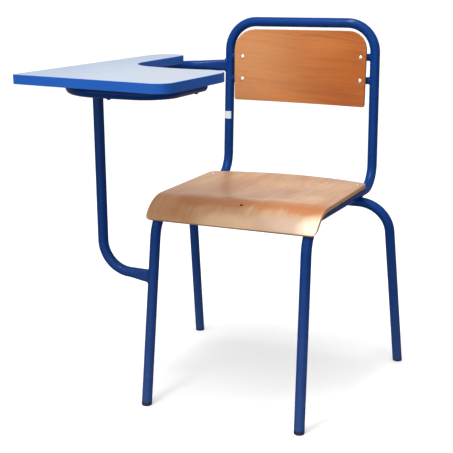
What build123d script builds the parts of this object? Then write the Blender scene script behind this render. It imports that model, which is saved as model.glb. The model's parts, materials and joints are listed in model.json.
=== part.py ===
from build123d import *
import os
from math import atan2, cos, degrees, pi, radians, sin, sqrt

# Classroom chair with a fixed writing tablet: one bent main tube, a separate rear leg arch,
# plywood seat and back, and a laminated tablet on a bent tube and a post.
# Millimetres. +Z is up, -Y is the way the sitter faces, -X is the sitter's right, where the
# tablet is. The origin is on the floor, under the middle of the whole chair.

# ---------------------------------------------------------------- driving dimensions
CENTRE_X = 37.93          # the chair's own plane of symmetry, from the origin
FEET_Y = -132.09         # line through the two front feet, from the origin

TUBE_D = 22.0            # main frame, rear legs, tablet tube and post
BAR_D = 16.0             # cross bars under the seat and behind the back panel
WALL = 1.5               # wall of every tube
TUBE_R = TUBE_D / 2
BAR_R = BAR_D / 2

FOOT_X = 173.5           # front feet, half the track
KNEE = (165.6, 51.4, 424.4)      # where a front leg's axis would meet its side rail's
HEEL = (181.9, 461.5, 419.6)     # where a side rail's axis would meet its upright's
TOP = (177.1, 470.2, 789.1)      # where an upright's axis would meet the top bow's
KNEE_R = 70.0            # bend radii of the main tube, on its axis
HEEL_R = 54.0
SHOULDER_R = 66.0

REAR_FOOT = (261.5, 456.0)       # rear feet, half the track and distance back
ARCH = (243.4, 378.2, 398.6)     # where a rear leg's axis would meet the arch's top run
ARCH_R = 70.0
ARCH_CROSS_X = 177.2     # where the arch passes under the side rails
ARCH_BEAD_R = 7.0

TUBE_START_Z = 7.0       # open end of each leg tube above the floor
GLIDE_INSERT = 18.0      # length of the glide's stem inside its tube
GLIDE_EDGE = 1.6         # rounding at the glide's rim

PLY = 9.0                # thickness of the seat and back plywood
SEAT_GAP = 0.4           # paint and play between plywood and tube
SEAT_FRONT_W = 187.0     # half width at the front and at the rear corners
SEAT_REAR_W = 192.0
SEAT_CORNER_Y = 381.0    # rear corners
SEAT_REAR_Y = 420.0      # middle of the curved rear edge
LIP_TURN = 57.0          # how far the front is rolled down
SEAT_DISH = 8.0          # depth of the hollow in the middle
DISH_HALF = 158.0        # half width of that hollow
LIP_CORNER_R = 16.0
REAR_CORNER_R = 18.0

BACK_R = 1400.0          # bend of the back panel's bars, in plan
BACK_W = (161.5, 160.0)  # half width at the top and at the bottom
BACK_BOTTOM = (186.2, 181.8)     # lower edge at its right and left end, along the uprights from HEEL
BACK_TOP = (352.5, 352.3)        # upper edge, same way
BACK_TOP_R = (50.0, 43.0)
BACK_BOTTOM_R = 5.0
BACK_BARS = ((234.8, 241.8), (286.9, 294.2))     # right and left end of each cross bar, same way
BACK_RIVET_X = (-141.2, 147.6)

RIVET_R = 2.4            # shank of the blind rivets
RIVET_HEAD = (4.7, 1.9)  # radius and height of a head
SEAT_RIVET = (177.2, 359.0)
FRONT_BAR_ANGLE = 18.5   # the front cross bar's place around the knee bend
FRONT_SCREW_X = 12.0

TABLET_Z = 697.2         # underside of the tablet
TABLET_T = 18.0
LAMINATE = 0.8
BAND = 2.0
TABLET_FRONT = ((-348.6, -173.0), (2.8, -228.5), (14.2, 45.5))
TABLET_NOTCH = ((-110.0, 47.5), (-246.0, 88.0))
ARM_END = ((-246.0, 378.5), (-325.2, 378.5))
TABLET_RADII = (8.0, 30.0, 56.0, 250.0, 95.0, 36.0, 45.0)
BAND_EDGE = 0.8

SUPPORT_Z = TABLET_Z - 0.2 - TUBE_R
SUPPORT_ROUTE = ((-287.5, 422.0), (-287.5, -142.5), (-44.0, -149.5), (-44.0, 22.0))
SUPPORT_RADII = (60.0, 114.0, 60.0)
SUPPORT_FLAT = (28.0, 13.0)      # height and thickness of its crushed end, inside the upright
SUPPORT_FLAT_RUN = 75.0  # over which it goes from round to crushed
PLUG_CAP = 3.0           # head of the plug in the tube's open end
POST_X = -287.5
POST_BEND_R = 65.0
POST_RUN_Z = 283.0       # axis of the post's bottom run, where it starts to flatten
POST_FLAT_Z = 278.0      # middle of its flattened end, against the leg
POST_FLAT = (31.0, 7.0)  # height and thickness of that end
SCREWS = ((-155.0, -146.3), (-44.0, -6.0), (-287.5, 90.0), (-287.5, 220.0), (-287.5, 330.0))
SCREW_R = 2.1
SCREW_HEAD = (4.4, 2.4)
SEAT_SCREW_HEAD = (3.6, 1.2)
SCREW_DEPTH = 13.0       # how far a screw runs into the tablet
HOLE_PLAY = 0.1
HEAD_LIFT = 0.2          # heads stand this far off a surface that is not quite flat

BEAD_FLARE = 3.2         # how far a weld bead spreads, and how thin it runs out
BEAD_EDGE = 0.5
SLOT_BEAD = (5.0, 6.0, 20.0)     # spread, height and taper angle of a bead around a crushed end

LABEL_HEIGHT = 138.5     # blank sticker on the sitter's right upright, from HEEL to its lower edge
LABEL_H = 18.0
LABEL_T = 0.3
LABEL_START = -190.0     # turn around the upright where it begins, and how far it wraps
LABEL_WRAP = 146.0

FAR = 1000.0             # longer than any part of the chair


def at(x, y, z):
    """A point counted from the plane of symmetry, the front feet's line and the floor."""
    return Vector(CENTRE_X + x, FEET_Y + y, z)


def save(piece, name):
    """Labels a finished piece and writes its STEP file."""
    piece.part.label = name
    export_step(piece.part, f"parts/{name}.step")


def rod(points, radii, radius):
    """Solid round bar along straight runs joined by tangent bends."""
    with BuildPart() as piece:
        with BuildLine() as route:
            if radii:
                FilletPolyline(*points, radius=radii)
            else:
                Line(*points)
        with BuildSketch(Plane(origin=route.line @ 0, z_dir=route.line % 0)):
            Circle(radius)
        sweep()
    return piece.part


def cylinder_at(centre, direction, radius, length):
    """Solid cylinder that starts at centre and runs along direction."""
    with BuildPart() as piece:
        with BuildSketch(Plane(origin=centre, z_dir=direction)):
            Circle(radius)
        extrude(amount=length)
    return piece.part


def collar(centre, direction, radius, flare, height, tube, within=None):
    """Ring of weld metal around a bar where it meets a tube, kept inside a space if one is given."""
    with BuildPart() as piece:
        with BuildSketch(Plane(origin=centre, z_dir=direction)):
            Circle(radius + flare)
        extrude(amount=height, taper=degrees(atan2(flare - BEAD_EDGE, height)))
        add(cylinder_at(centre - direction * 5, direction, radius, FAR), mode=Mode.SUBTRACT)
        add(tube, mode=Mode.SUBTRACT)
        if within:
            add(within, mode=Mode.INTERSECT)
    return piece


def button(centre, out, head, shank_r, length):
    """Domed head on a surface, with a plain shank that runs back into the material."""
    head_r, head_h = head
    side = out.cross(Vector(0.2, 0.3, 1)).normalized()
    dome_r = (head_r**2 + head_h**2) / (2 * head_h)
    halfway = sqrt(dome_r**2 - (head_r / 2) ** 2) - dome_r + head_h
    with BuildPart() as piece:
        with BuildSketch(Plane(origin=centre, x_dir=side, z_dir=side.cross(out))):
            with BuildLine():
                Polyline((0, head_h), (0, -length), (shank_r, -length), (shank_r, 0), (head_r, 0))
                ThreePointArc((head_r, 0), (head_r / 2, halfway), (0, head_h))
            make_face()
        revolve(axis=Axis(centre, out))
    return piece


def crushed_end(round_end, flat_end, along, across, flat_size, shrink):
    """A tube's crushed end, from round to a narrow upright slot inside the tube it joins."""
    round_size = TUBE_D - 2 * shrink
    flat_height, flat_thickness = (size - 2 * shrink for size in flat_size)
    with BuildPart() as piece:
        with BuildSketch(Plane(origin=round_end, x_dir=across, z_dir=along)):
            RectangleRounded(round_size, round_size, round_size / 2 - 0.05)
        with BuildSketch(Plane(origin=flat_end, x_dir=across, z_dir=along)):
            RectangleRounded(flat_thickness, flat_height, flat_thickness / 2 - 0.05)
        loft()
    return piece.part


def slot_bead(flat_end, out, across, flat_size, taken):
    """Weld metal around a crushed end, where it comes out of the tube it is let into."""
    spread, height, slope = SLOT_BEAD
    flat_height, flat_thickness = flat_size
    with BuildPart() as piece:
        with BuildSketch(Plane(origin=flat_end + out * (TUBE_R - 2), x_dir=across, z_dir=out)):
            RectangleRounded(flat_thickness + spread, flat_height + spread, flat_thickness / 2 + 2)
        extrude(amount=height, taper=slope)
        for solid in taken:
            add(solid, mode=Mode.SUBTRACT)
    return piece


os.makedirs("parts", exist_ok=True)

# ---------------------------------------------------------------- main tube
leg_lean = Vector(KNEE[0] - FOOT_X, KNEE[1], KNEE[2]) / KNEE[2]


def front_leg_at(side, z):
    """Point of a front leg's axis at height z; side is -1 on the sitter's right."""
    return at(side * (FOOT_X + leg_lean.X * z), leg_lean.Y * z, z)


def rail_at(side, y):
    """Point of a side rail's axis at distance y behind the front feet."""
    share = (y - KNEE[1]) / (HEEL[1] - KNEE[1])
    x = KNEE[0] + share * (HEEL[0] - KNEE[0])
    return at(side * x, y, KNEE[2] + share * (HEEL[2] - KNEE[2]))


half_route = [front_leg_at(1, TUBE_START_Z), at(*KNEE), at(*HEEL), at(*TOP)]
mirrored = [Vector(2 * CENTRE_X - p.X, p.Y, p.Z) for p in half_route]
frame_route = half_route + mirrored[::-1]
bends = [KNEE_R, HEEL_R, SHOULDER_R]
frame_radii = bends + bends[::-1]
frame_envelope = rod(frame_route, frame_radii, TUBE_R)

upright_run = Vector(0, TOP[1] - HEEL[1], TOP[2] - HEEL[2])
back_frame = Plane(origin=at(0, HEEL[1], HEEL[2]), x_dir=(1, 0, 0), z_dir=upright_run)


def upright_x(height):
    """Half the distance between the uprights' axes, at a height along them from HEEL."""
    return HEEL[0] + (TOP[0] - HEEL[0]) * height / upright_run.length


back_centre = -sqrt(BACK_R**2 - upright_x(BACK_BARS[0][1]) ** 2)


def back_point(x, height, forward):
    """Point at x, forward of the bent bars' axis, towards the bend's centre."""
    reach = BACK_R - forward
    turn = x / BACK_R
    return back_frame.from_local_coords(Vector(reach * sin(turn), back_centre + reach * cos(turn), height))


def back_normal(x):
    """Direction from the back panel at x to the sitter."""
    turn = x / BACK_R
    return back_frame.x_dir * -sin(turn) - back_frame.y_dir * cos(turn)


def bar_height(bar_ends, x):
    """Height of a cross bar at x: it runs from the lower end to the higher one."""
    right_end, left_end = bar_ends
    half = upright_x(right_end)
    return right_end + (left_end - right_end) * (x + half) / (2 * half)


def upright_at(side, height):
    """Point of an upright's axis, at a height along it from HEEL."""
    return back_frame.from_local_coords(Vector(side * upright_x(height), 0, height))


seat_top_over_rail = TUBE_R + SEAT_GAP + PLY
seat_rivet_spots = [rail_at(side, SEAT_RIVET[1]) for side in (-1, 1)]

with BuildPart() as main_frame_tube:
    with BuildLine() as frame_line:
        FilletPolyline(*frame_route, radius=frame_radii)
    with BuildSketch(Plane(origin=frame_line.line @ 0, z_dir=frame_line.line % 0)):
        Circle(TUBE_R)
        Circle(TUBE_R - WALL, mode=Mode.SUBTRACT)
    sweep()
    for spot in seat_rivet_spots:
        add(cylinder_at(spot, Vector(0, 0, 1), RIVET_R + HOLE_PLAY, TUBE_D), mode=Mode.SUBTRACT)
save(main_frame_tube, "main_frame_tube")

# ---------------------------------------------------------------- rear leg arch
rear_lean = Vector(ARCH[0] - REAR_FOOT[0], ARCH[1] - REAR_FOOT[1], ARCH[2]) / ARCH[2]


def rear_leg_at(side, z):
    """Point of a rear leg's axis at height z."""
    x = REAR_FOOT[0] + rear_lean.X * z
    return at(side * x, REAR_FOOT[1] + rear_lean.Y * z, z)


arch_route = [
    rear_leg_at(-1, TUBE_START_Z),
    at(-ARCH[0], ARCH[1], ARCH[2]),
    at(*ARCH),
    rear_leg_at(1, TUBE_START_Z),
]

with BuildPart() as rear_leg_tube:
    with BuildLine() as arch_line:
        FilletPolyline(*arch_route, radius=ARCH_R)
    with BuildSketch(Plane(origin=arch_line.line @ 0, z_dir=arch_line.line % 0)):
        Circle(TUBE_R)
        Circle(TUBE_R - WALL, mode=Mode.SUBTRACT)
    sweep()
save(rear_leg_tube, "rear_leg_tube")
arch_envelope = rod(arch_route, [ARCH_R, ARCH_R], TUBE_R)

# ---------------------------------------------------------------- floor glides
leg_ends = {
    "front_right_glide": (front_leg_at(-1, TUBE_START_Z), front_leg_at(-1, 0)),
    "front_left_glide": (front_leg_at(1, TUBE_START_Z), front_leg_at(1, 0)),
    "rear_right_glide": (rear_leg_at(-1, TUBE_START_Z), rear_leg_at(-1, 0)),
    "rear_left_glide": (rear_leg_at(1, TUBE_START_Z), rear_leg_at(1, 0)),
}
for name, (tube_end, floor_point) in leg_ends.items():
    with BuildPart() as glide:
        with BuildSketch(Plane(origin=tube_end, z_dir=floor_point - tube_end)):
            Circle(TUBE_R)
        extrude(amount=2 * TUBE_START_Z)
        split(bisect_by=Plane.XY, keep=Keep.TOP)
        fillet(glide.edges().group_by(Axis.Z)[0], radius=GLIDE_EDGE)
        with BuildSketch(Plane(origin=tube_end, z_dir=tube_end - floor_point)):
            Circle(TUBE_R - WALL - 0.1)
        extrude(amount=GLIDE_INSERT)
    save(glide, name)

# ---------------------------------------------------------------- bars behind the back panel
bar_names = ("back_crossbar_lower", "back_crossbar_upper")
bar_envelopes = []
for name, bar_ends in zip(bar_names, BACK_BARS):
    with BuildPart() as bar:
        with BuildLine() as bar_line:
            middle = back_point(0, bar_height(bar_ends, 0), 0)
            ThreePointArc(upright_at(-1, bar_ends[0]), middle, upright_at(1, bar_ends[1]))
        with BuildSketch(Plane(origin=bar_line.line @ 0, z_dir=bar_line.line % 0)):
            Circle(BAR_R)
            Circle(BAR_R - WALL, mode=Mode.SUBTRACT)
        sweep()
        add(frame_envelope, mode=Mode.SUBTRACT)
        for x in BACK_RIVET_X:
            axis_point = back_point(x, bar_height(bar_ends, x), 0)
            hole = cylinder_at(axis_point, back_normal(x), RIVET_R + HOLE_PLAY, BAR_D)
            add(hole, mode=Mode.SUBTRACT)
    save(bar, name)
    with BuildPart() as solid_bar:
        with BuildSketch(Plane(origin=bar_line.line @ 0, z_dir=bar_line.line % 0)):
            Circle(BAR_R)
        sweep(path=bar_line.line)
    bar_envelopes.append(solid_bar.part)

# ---------------------------------------------------------------- seat front cross bar
rail_slope = atan2(HEEL[2] - KNEE[2], HEEL[1] - KNEE[1])
leg_down = Vector(0, -KNEE[1], -KNEE[2]).normalized()
rail_back = Vector(0, cos(rail_slope), sin(rail_slope))
to_centre = (leg_down + rail_back).normalized()
half_corner = leg_down.get_angle(rail_back) / 2
knee_centre = Vector(0, KNEE[1], KNEE[2]) + to_centre * (KNEE_R / sin(radians(half_corner)))


def knee_point(x, turn, reach):
    """Point at reach from the knee bend's centre, turned forward from straight up."""
    y = knee_centre.Y - reach * sin(radians(turn))
    return at(x, y, knee_centre.Z + reach * cos(radians(turn)))


bar_reach = KNEE_R + TUBE_R - BAR_R
front_bar_end = knee_point(KNEE[0] + 1.5, FRONT_BAR_ANGLE, bar_reach)
front_screw_out = Vector(0, -sin(radians(FRONT_BAR_ANGLE)), cos(radians(FRONT_BAR_ANGLE)))
front_screw_spot = knee_point(FRONT_SCREW_X, FRONT_BAR_ANGLE, bar_reach)

with BuildPart() as seat_front_crossbar:
    with BuildSketch(Plane(origin=front_bar_end, z_dir=(-1, 0, 0))):
        Circle(BAR_R)
        Circle(BAR_R - WALL, mode=Mode.SUBTRACT)
    extrude(amount=2 * (KNEE[0] + 1.5))
    add(frame_envelope, mode=Mode.SUBTRACT)
    add(cylinder_at(front_screw_spot, front_screw_out, SCREW_R + HOLE_PLAY, BAR_D), mode=Mode.SUBTRACT)
save(seat_front_crossbar, "seat_front_crossbar")

# ---------------------------------------------------------------- seat panel
nose_reach = KNEE_R + seat_top_over_rail
lip_z = knee_centre.Z + (nose_reach - PLY) * cos(radians(LIP_TURN))
flat_length = SEAT_REAR_Y + 15 - knee_centre.Y
SECTION_W = 200.0        # half width of the blank before it is cut to its outline
DISH_POINTS = 10


def dish_share(run):
    """How deep the hollow is at a distance behind the knee bend, from 0 to 1."""
    return sin(pi * run / flat_length) ** 2


def seat_section(origin, normal_in, depth):
    """Cross-section of the plywood: hollowed by depth in the middle, even in thickness."""
    with BuildSketch(Plane(origin=origin, x_dir=(1, 0, 0), z_dir=normal_in)) as section:
        xs = [SECTION_W * (2 * i / DISH_POINTS - 1) for i in range(DISH_POINTS + 1)]
        hollow = [-depth * max(0, 1 - (x / DISH_HALF) ** 2) ** 2 for x in xs]
        with BuildLine():
            upper = Spline(*[(x, h) for x, h in zip(xs, hollow)])
            lower = Spline(*[(x, h - PLY) for x, h in zip(xs, hollow)])
            Line(upper @ 0, lower @ 0)
            Line(upper @ 1, lower @ 1)
        make_face()
    return section.sketch.face()


seat_sections = []
for step in range(8, 0, -1):
    run = flat_length * step / 8
    spot = knee_point(0, -degrees(rail_slope), nose_reach) + rail_back * run
    seat_sections.append(seat_section(spot, -rail_back, SEAT_DISH * dish_share(run)))
for turn in (-degrees(rail_slope), 12, 24, 36, 48, LIP_TURN):
    facing = Vector(0, -cos(radians(turn)), -sin(radians(turn)))
    seat_sections.append(seat_section(knee_point(0, turn, nose_reach), facing, 0))

with BuildPart() as seat_panel:
    loft(seat_sections)
    with BuildSketch(Plane.XY) as seat_outline:
        with BuildLine():
            Polyline(
                at(-SEAT_REAR_W, SEAT_CORNER_Y, 0),
                at(-SEAT_FRONT_W, 0, 0),
                at(SEAT_FRONT_W, 0, 0),
                at(SEAT_REAR_W, SEAT_CORNER_Y, 0),
            )
            ThreePointArc(
                at(SEAT_REAR_W, SEAT_CORNER_Y, 0),
                at(0, SEAT_REAR_Y, 0),
                at(-SEAT_REAR_W, SEAT_CORNER_Y, 0),
            )
        make_face()
        rear_corners = seat_outline.vertices().group_by(Axis.Y)[-1]
        fillet(rear_corners, radius=REAR_CORNER_R)
    extrude(amount=FAR, mode=Mode.INTERSECT)
    with BuildSketch(Plane.XZ) as front_view:
        with BuildLine():
            Polyline(
                (CENTRE_X - SECTION_W, 500),
                (CENTRE_X - SECTION_W, 431),
                (CENTRE_X - SEAT_FRONT_W - 0.8, 431),
                (CENTRE_X - SEAT_FRONT_W - 0.8, lip_z),
                (CENTRE_X + SEAT_FRONT_W + 0.8, lip_z),
                (CENTRE_X + SEAT_FRONT_W + 0.8, 431),
                (CENTRE_X + SECTION_W, 431),
                (CENTRE_X + SECTION_W, 500),
                close=True,
            )
        make_face()
        fillet(front_view.vertices().group_by(Axis.Y)[0], radius=LIP_CORNER_R)
    extrude(amount=FAR, both=True, mode=Mode.INTERSECT)
    for spot in seat_rivet_spots:
        add(cylinder_at(spot, Vector(0, 0, 1), RIVET_R + HOLE_PLAY, 2 * TUBE_D), mode=Mode.SUBTRACT)
    add(cylinder_at(front_screw_spot, front_screw_out, SCREW_R + HOLE_PLAY, 2 * TUBE_D), mode=Mode.SUBTRACT)
save(seat_panel, "seat_panel")

# ---------------------------------------------------------------- back panel
panel_back = BACK_R - BAR_R - SEAT_GAP / 2
with BuildPart() as back_panel:
    with BuildSketch(back_frame.offset(min(BACK_BOTTOM))):
        with Locations((0, back_centre)):
            Circle(panel_back)
            Circle(panel_back - PLY, mode=Mode.SUBTRACT)
    extrude(amount=max(BACK_TOP) - min(BACK_BOTTOM))
    facing = Plane(origin=back_frame.origin, x_dir=(1, 0, 0), z_dir=-back_frame.y_dir)
    with BuildSketch(facing.offset(-TUBE_D)):
        with BuildLine():
            FilletPolyline(
                (-BACK_W[0], BACK_TOP[0]),
                (-BACK_W[1], BACK_BOTTOM[0]),
                (BACK_W[1], BACK_BOTTOM[1]),
                (BACK_W[0], BACK_TOP[1]),
                radius=[BACK_TOP_R[0], BACK_BOTTOM_R, BACK_BOTTOM_R, BACK_TOP_R[1]],
                close=True,
            )
        make_face()
    extrude(amount=3 * TUBE_D, mode=Mode.INTERSECT)
    for x, bar_ends in [(x, ends) for x in BACK_RIVET_X for ends in BACK_BARS]:
        axis_point = back_point(x, bar_height(bar_ends, x), 0)
        shaft = cylinder_at(axis_point, back_normal(x), RIVET_R + HOLE_PLAY, TUBE_D)
        add(shaft, mode=Mode.SUBTRACT)
save(back_panel, "back_panel")

# ---------------------------------------------------------------- rivets and the seat's front screw
sides = {"right": -1, "left": 1}
for side_name, side in sides.items():
    rivet_x = BACK_RIVET_X[(side + 1) // 2]
    for row, bar_ends in zip(("lower", "upper"), BACK_BARS):
        height = bar_height(bar_ends, rivet_x)
        face = back_point(rivet_x, height, BACK_R - panel_back + PLY + HEAD_LIFT / 2)
        reach = PLY + SEAT_GAP + WALL + RIVET_R
        rivet = button(face, back_normal(rivet_x), RIVET_HEAD, RIVET_R, reach)
        save(rivet, f"back_rivet_{row}_{side_name}")
    face = rail_at(side, SEAT_RIVET[1]) + Vector(0, 0, seat_top_over_rail + HEAD_LIFT)
    rivet = button(face, Vector(0, 0, 1), RIVET_HEAD, RIVET_R, PLY + SEAT_GAP + WALL + RIVET_R)
    save(rivet, f"seat_rivet_{side_name}")

screw_face = knee_point(FRONT_SCREW_X, FRONT_BAR_ANGLE, nose_reach + HEAD_LIFT / 4)
seat_front_screw = button(
    screw_face, front_screw_out, SEAT_SCREW_HEAD, SCREW_R, PLY + SEAT_GAP + WALL + SCREW_R
)
save(seat_front_screw, "seat_front_screw")

# ---------------------------------------------------------------- tablet support tube
support_start = upright_at(-1, (SUPPORT_Z - HEEL[2]) / back_frame.z_dir.Z)
support_route = [support_start] + [at(x, y, SUPPORT_Z) for x, y in SUPPORT_ROUTE]
support_envelope = rod(support_route, list(SUPPORT_RADII), TUBE_R)
screw_bottom = SUPPORT_Z - TUBE_R
toward_bend = (support_route[1] - support_route[0]).normalized()
support_across = toward_bend.cross(Vector(0, 0, 1)).normalized()
support_round = support_route[0] + toward_bend * SUPPORT_FLAT_RUN
support_end = [support_round, support_route[0], -toward_bend, support_across, SUPPORT_FLAT]
support_crushed = crushed_end(*support_end, 0)

with BuildPart() as tablet_support_tube:
    with BuildLine() as support_line:
        FilletPolyline(support_round, *support_route[1:], radius=list(SUPPORT_RADII))
    with BuildSketch(Plane(origin=support_line.line @ 0, z_dir=support_line.line % 0)):
        Circle(TUBE_R)
        Circle(TUBE_R - WALL, mode=Mode.SUBTRACT)
    sweep()
    add(support_crushed)
    add(crushed_end(*support_end, WALL), mode=Mode.SUBTRACT)
    add(frame_envelope, mode=Mode.SUBTRACT)
    for x, y in SCREWS:
        hole = cylinder_at(at(x, y, screw_bottom - 1), Vector(0, 0, 1), SCREW_R + HOLE_PLAY, 2 * TUBE_D)
        add(hole, mode=Mode.SUBTRACT)
save(tablet_support_tube, "tablet_support_tube")

with BuildPart() as support_tube_plug:
    end = support_route[-1]
    with BuildSketch(Plane(origin=end, z_dir=(0, 1, 0))):
        Circle(TUBE_R)
    extrude(amount=PLUG_CAP)
    fillet(support_tube_plug.edges().group_by(Axis.Y)[-1], radius=GLIDE_EDGE)
    with BuildSketch(Plane(origin=end, z_dir=(0, -1, 0))):
        Circle(TUBE_R - WALL - HOLE_PLAY)
    extrude(amount=GLIDE_INSERT)
save(support_tube_plug, "support_tube_plug")

for number, (x, y) in enumerate(SCREWS, start=1):
    length = TUBE_D + TABLET_Z - SUPPORT_Z - TUBE_R + SCREW_DEPTH
    screw = button(at(x, y, screw_bottom), Vector(0, 0, -1), SCREW_HEAD, SCREW_R, length)
    save(screw, f"tablet_screw_{number}")

# ---------------------------------------------------------------- writing tablet
with BuildSketch(Plane.XY.offset(TABLET_Z)) as tablet_outline:
    with BuildLine():
        corners = [at(x, y, 0) for x, y in (*TABLET_FRONT, *TABLET_NOTCH, *ARM_END)]
        FilletPolyline(*corners, radius=list(TABLET_RADII), close=True)
    make_face()

with BuildSketch(Plane.XY.offset(TABLET_Z)) as tablet_inside:
    add(tablet_outline.sketch)
    offset(amount=-BAND, mode=Mode.REPLACE)


def tablet_layer(bottom, thickness, bored):
    """One layer of the tablet inside its edge band, with or without the screw holes."""
    with BuildPart() as layer:
        with BuildSketch(Plane.XY.offset(bottom)):
            add(tablet_inside.sketch.moved(Location((0, 0, bottom - TABLET_Z))))
        extrude(amount=thickness)
        if bored:
            for x, y in SCREWS:
                start = at(x, y, TABLET_Z - 1)
                hole = cylinder_at(start, Vector(0, 0, 1), SCREW_R + HOLE_PLAY, 2 + SCREW_DEPTH)
                add(hole, mode=Mode.SUBTRACT)
    return layer


save(tablet_layer(TABLET_Z, LAMINATE, True), "tablet_backing_laminate")
save(tablet_layer(TABLET_Z + LAMINATE, TABLET_T - 2 * LAMINATE, True), "tablet_core")
save(tablet_layer(TABLET_Z + TABLET_T - LAMINATE, LAMINATE, False), "tablet_top_laminate")

with BuildPart() as tablet_edge_band:
    with BuildSketch(Plane.XY.offset(TABLET_Z)):
        add(tablet_outline.sketch)
        add(tablet_inside.sketch, mode=Mode.SUBTRACT)
    extrude(amount=TABLET_T)
    fillet(tablet_edge_band.faces().sort_by(Axis.Z)[-1].outer_wire().edges(), radius=BAND_EDGE)
    fillet(tablet_edge_band.faces().sort_by(Axis.Z)[0].outer_wire().edges(), radius=BAND_EDGE)
save(tablet_edge_band, "tablet_edge_band")

# ---------------------------------------------------------------- post
post_foot = front_leg_at(-1, POST_FLAT_Z)
post_y = post_foot.Y - FEET_Y
post_route = [
    at(POST_X, post_y, SUPPORT_Z),
    at(POST_X, post_y, POST_RUN_Z),
    at(POST_X + POST_BEND_R + 1, post_y, POST_RUN_Z),
]
post_end = [post_route[-1], post_foot, Vector(1, 0, 0), Vector(0, 1, 0), POST_FLAT]
post_crushed = crushed_end(*post_end, 0)
with BuildPart() as tablet_post:
    with BuildLine() as post_line:
        FilletPolyline(*post_route, radius=[POST_BEND_R])
    with BuildSketch(Plane(origin=post_line.line @ 0, z_dir=post_line.line % 0)):
        Circle(TUBE_R)
        Circle(TUBE_R - WALL, mode=Mode.SUBTRACT)
    sweep()
    add(post_crushed)
    add(crushed_end(*post_end, WALL), mode=Mode.SUBTRACT)
    add(support_envelope, mode=Mode.SUBTRACT)
    add(frame_envelope, mode=Mode.SUBTRACT)
save(tablet_post, "tablet_post")

# ---------------------------------------------------------------- weld beads
knee_axis_start = knee_point(-FAR / 2, 0, 0)
under_seat = cylinder_at(knee_axis_start, Vector(1, 0, 0), KNEE_R + TUBE_R + SEAT_GAP / 2, FAR)
for side_name, side in sides.items():
    inward = Vector(-side, 0, 0)
    for row, bar_ends, bar in zip(("lower", "upper"), BACK_BARS, bar_envelopes):
        height = bar_ends[(side + 1) // 2]
        turn = upright_x(height) / BACK_R
        along = back_frame.x_dir * -side * cos(turn) + back_frame.y_dir * sin(turn)
        start = upright_at(side, height) + along * (TUBE_R - 5)
        bead = collar(start, along, BAR_R, BEAD_FLARE, 8, frame_envelope + bar)
        save(bead, f"back_bar_weld_{row}_{side_name}")
    start = knee_point(side * KNEE[0], FRONT_BAR_ANGLE, bar_reach) + inward * (TUBE_R - 5)
    bead = collar(start, inward, BAR_R, BEAD_FLARE, 8, frame_envelope, under_seat)
    save(bead, f"front_bar_weld_{side_name}")
    crossing = (rail_at(side, ARCH[1]) + at(side * ARCH_CROSS_X, ARCH[1], ARCH[2])) / 2
    with BuildPart() as arch_bead:
        with BuildSketch(Plane.XY.offset(crossing.Z - TUBE_R / 2)):
            with Locations((crossing.X, crossing.Y)):
                Circle(ARCH_BEAD_R)
        extrude(amount=TUBE_R)
        add(frame_envelope, mode=Mode.SUBTRACT)
        add(arch_envelope, mode=Mode.SUBTRACT)
    save(arch_bead, f"arch_weld_{side_name}")

bead = slot_bead(
    support_route[0], toward_bend, support_across, SUPPORT_FLAT, [support_crushed, frame_envelope]
)
save(bead, "support_tube_weld")
down = Vector(0, 0, -1)
bead = collar(post_route[0] + down * 3, down, TUBE_R, BEAD_FLARE, 11, support_envelope)
save(bead, "post_top_weld")

bead = slot_bead(post_foot, Vector(-1, 0, 0), Vector(0, 1, 0), POST_FLAT, [post_crushed, frame_envelope])
save(bead, "post_foot_weld")

# ---------------------------------------------------------------- blank sticker
label_bottom = upright_at(-1, LABEL_HEIGHT)
upright_axis = upright_at(-1, 2 * LABEL_HEIGHT) - label_bottom
with BuildPart() as label_band:
    with BuildSketch(Plane(origin=label_bottom, x_dir=(1, 0, 0), z_dir=upright_axis)):
        with BuildLine():
            hub = (0, 0)
            inner = CenterArc(hub, TUBE_R + 0.02, LABEL_START, LABEL_WRAP)
            outer = CenterArc(hub, TUBE_R + LABEL_T, LABEL_START, LABEL_WRAP)
            Line(inner @ 0, outer @ 0)
            Line(inner @ 1, outer @ 1)
        make_face()
    extrude(amount=LABEL_H)
save(label_band, "label_band")
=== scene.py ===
import json
from math import asin, atan2, cos, pi, radians, sin, sqrt

import bpy
from mathutils import Matrix, Vector


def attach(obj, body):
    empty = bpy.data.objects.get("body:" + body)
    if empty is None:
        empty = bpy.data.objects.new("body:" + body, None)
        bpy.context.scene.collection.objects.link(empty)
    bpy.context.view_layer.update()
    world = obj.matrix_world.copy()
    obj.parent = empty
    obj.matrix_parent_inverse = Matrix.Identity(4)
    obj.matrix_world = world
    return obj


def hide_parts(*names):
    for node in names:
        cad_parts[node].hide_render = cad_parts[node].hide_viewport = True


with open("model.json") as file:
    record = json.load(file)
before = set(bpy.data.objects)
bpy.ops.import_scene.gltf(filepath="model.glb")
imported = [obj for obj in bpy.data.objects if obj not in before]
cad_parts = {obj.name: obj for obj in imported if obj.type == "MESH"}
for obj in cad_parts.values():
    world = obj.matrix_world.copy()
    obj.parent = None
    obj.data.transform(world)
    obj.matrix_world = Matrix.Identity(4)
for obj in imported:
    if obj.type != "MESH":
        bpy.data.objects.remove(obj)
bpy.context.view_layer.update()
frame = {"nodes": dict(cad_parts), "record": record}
BODY = "root"
MM = 0.001


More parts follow.
